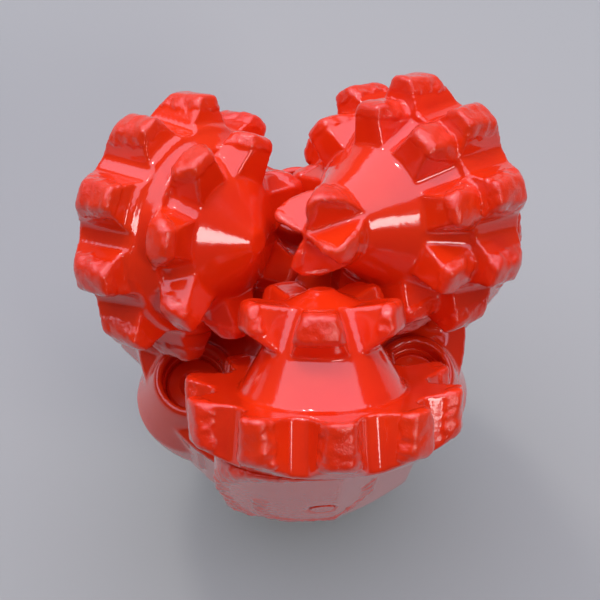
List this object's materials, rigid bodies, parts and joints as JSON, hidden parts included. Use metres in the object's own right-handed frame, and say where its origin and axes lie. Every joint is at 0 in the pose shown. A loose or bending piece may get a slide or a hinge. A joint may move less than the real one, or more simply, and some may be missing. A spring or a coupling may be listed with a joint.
{
  "type": "tricone drill bit",
  "caption": "Rotary drill bit with three rolling steel-tooth cones on journal bearings, jet nozzle ports between three welded legs, and a tapered threaded pin",
  "frame": {"origin": "centre of the pin's nose face, on the bit's own axis, where the bit stands", "axes": "+Z is the bit axis, from the pin towards the cones; -Y points out through leg 3, and legs 1 and 2 stand at azimuths 30 and 150 degrees from +X"},
  "size_m": [0.2463, 0.2365, 0.3565],
  "materials": {
    "red_enamel": "thick glossy vermilion enamel over forged and milled steel, orange-peel gloss",
    "bearing_steel": "ground hardened steel",
    "spring_steel": "oil-blackened spring steel",
    "bearing_bronze": "silver-plated bearing bronze sleeve",
    "nozzle_carbide": "sintered tungsten carbide, ground",
    "seal_rubber": "moulded nitrile rubber"
  },
  "bodies": {
    "bit_body": {"ball_plug_1": "bearing_steel", "ball_plug_2": "bearing_steel", "ball_plug_3": "bearing_steel", "cap_seal_1": "seal_rubber", "cap_seal_2": "seal_rubber", "cap_seal_3": "seal_rubber", "cap_snap_ring_1": "spring_steel", "cap_snap_ring_2": "spring_steel", "cap_snap_ring_3": "spring_steel", "diaphragm_1": "seal_rubber", "diaphragm_2": "seal_rubber", "diaphragm_3": "seal_rubber", "jet_nozzle_1": "nozzle_carbide", "jet_nozzle_2": "nozzle_carbide", "jet_nozzle_3": "nozzle_carbide", "leg_1": "red_enamel", "leg_2": "red_enamel", "leg_3": "red_enamel", "nozzle_seal_1": "seal_rubber", "nozzle_seal_2": "seal_rubber", "nozzle_seal_3": "seal_rubber", "nozzle_snap_ring_1": "spring_steel", "nozzle_snap_ring_2": "spring_steel", "nozzle_snap_ring_3": "spring_steel", "reservoir_cap_1": "red_enamel", "reservoir_cap_2": "red_enamel", "reservoir_cap_3": "red_enamel", "reservoir_cup_1": "bearing_steel", "reservoir_cup_2": "bearing_steel", "reservoir_cup_3": "bearing_steel", "weld_seam_1": "red_enamel", "weld_seam_2": "red_enamel", "weld_seam_3": "red_enamel"},
    "cone_body_1": {"cone_1": "red_enamel", "journal_bush_1": "bearing_bronze", "pilot_bush_1": "bearing_bronze", "thrust_washer_1": "bearing_steel", "cone_seal_1": "seal_rubber"},
    "ball_set_1": {"retention_balls_1": "bearing_steel"},
    "cone_body_2": {"cone_2": "red_enamel", "journal_bush_2": "bearing_bronze", "pilot_bush_2": "bearing_bronze", "thrust_washer_2": "bearing_steel", "cone_seal_2": "seal_rubber"},
    "ball_set_2": {"retention_balls_2": "bearing_steel"},
    "cone_body_3": {"cone_3": "red_enamel", "journal_bush_3": "bearing_bronze", "pilot_bush_3": "bearing_bronze", "thrust_washer_3": "bearing_steel", "cone_seal_3": "seal_rubber"},
    "ball_set_3": {"retention_balls_3": "bearing_steel"}
  },
  "joints": [
    {"name": "cone_1_spin", "type": "hinge", "parent": "bit_body", "child": "cone_body_1", "pos_m": [0.04629, 0.03388, 0.29646], "axis": [-0.7263, -0.4193, 0.5446], "continuous": true},
    {"name": "ball_set_1_orbit", "type": "hinge", "parent": "bit_body", "child": "ball_set_1", "pos_m": [0.04629, 0.03388, 0.29646], "axis": [-0.7263, -0.4193, 0.5446], "continuous": true},
    {"name": "cone_2_spin", "type": "hinge", "parent": "bit_body", "child": "cone_body_2", "pos_m": [-0.05249, 0.02314, 0.29646], "axis": [0.7263, -0.4193, 0.5446], "continuous": true},
    {"name": "ball_set_2_orbit", "type": "hinge", "parent": "bit_body", "child": "ball_set_2", "pos_m": [-0.05249, 0.02314, 0.29646], "axis": [0.7263, -0.4193, 0.5446], "continuous": true},
    {"name": "cone_3_spin", "type": "hinge", "parent": "bit_body", "child": "cone_body_3", "pos_m": [0.0062, -0.05703, 0.29646], "axis": [0, 0.8387, 0.5446], "continuous": true},
    {"name": "ball_set_3_orbit", "type": "hinge", "parent": "bit_body", "child": "ball_set_3", "pos_m": [0.0062, -0.05703, 0.29646], "axis": [0, 0.8387, 0.5446], "continuous": true}
  ],
  "couplings": [
    {"joint": "ball_set_1_orbit", "follows": "cone_1_spin", "ratio": 0.6296},
    {"joint": "ball_set_2_orbit", "follows": "cone_2_spin", "ratio": 0.6296},
    {"joint": "ball_set_3_orbit", "follows": "cone_3_spin", "ratio": 0.6296}
  ]
}
